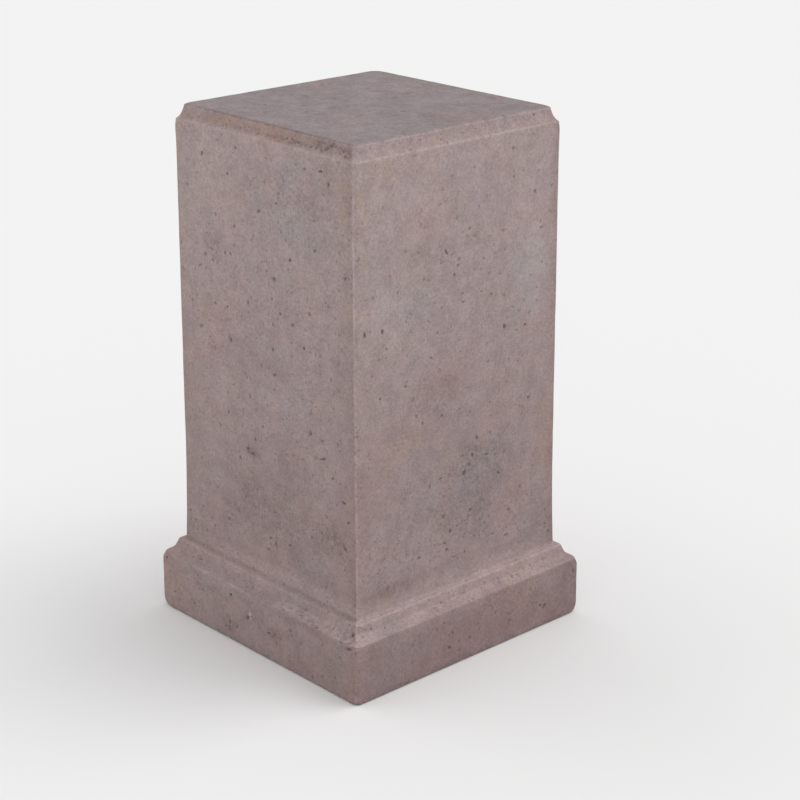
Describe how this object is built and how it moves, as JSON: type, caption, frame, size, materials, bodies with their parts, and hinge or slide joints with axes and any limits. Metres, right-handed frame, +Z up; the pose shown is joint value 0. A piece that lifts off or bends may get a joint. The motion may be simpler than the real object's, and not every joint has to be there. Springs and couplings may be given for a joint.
{
  "type": "pedestal",
  "caption": "Square stone pedestal: low plinth, cove base moulding, plain shaft that narrows slightly, and a flat table above a cavetto. Stands by its weight and carries a statue or urn.",
  "frame": {"origin": "middle of the flat underside, on the surface the pedestal stands on", "axes": "+Z up the shaft; +X and +Y square to two neighbouring faces, which are alike"},
  "size_m": [0.3556, 0.3556, 0.6145],
  "materials": {
    "cast_stone": "matt, finely pitted, mauve-brown"
  },
  "bodies": {
    "root": {"pedestal": "cast_stone"}
  },
  "joints": []
}
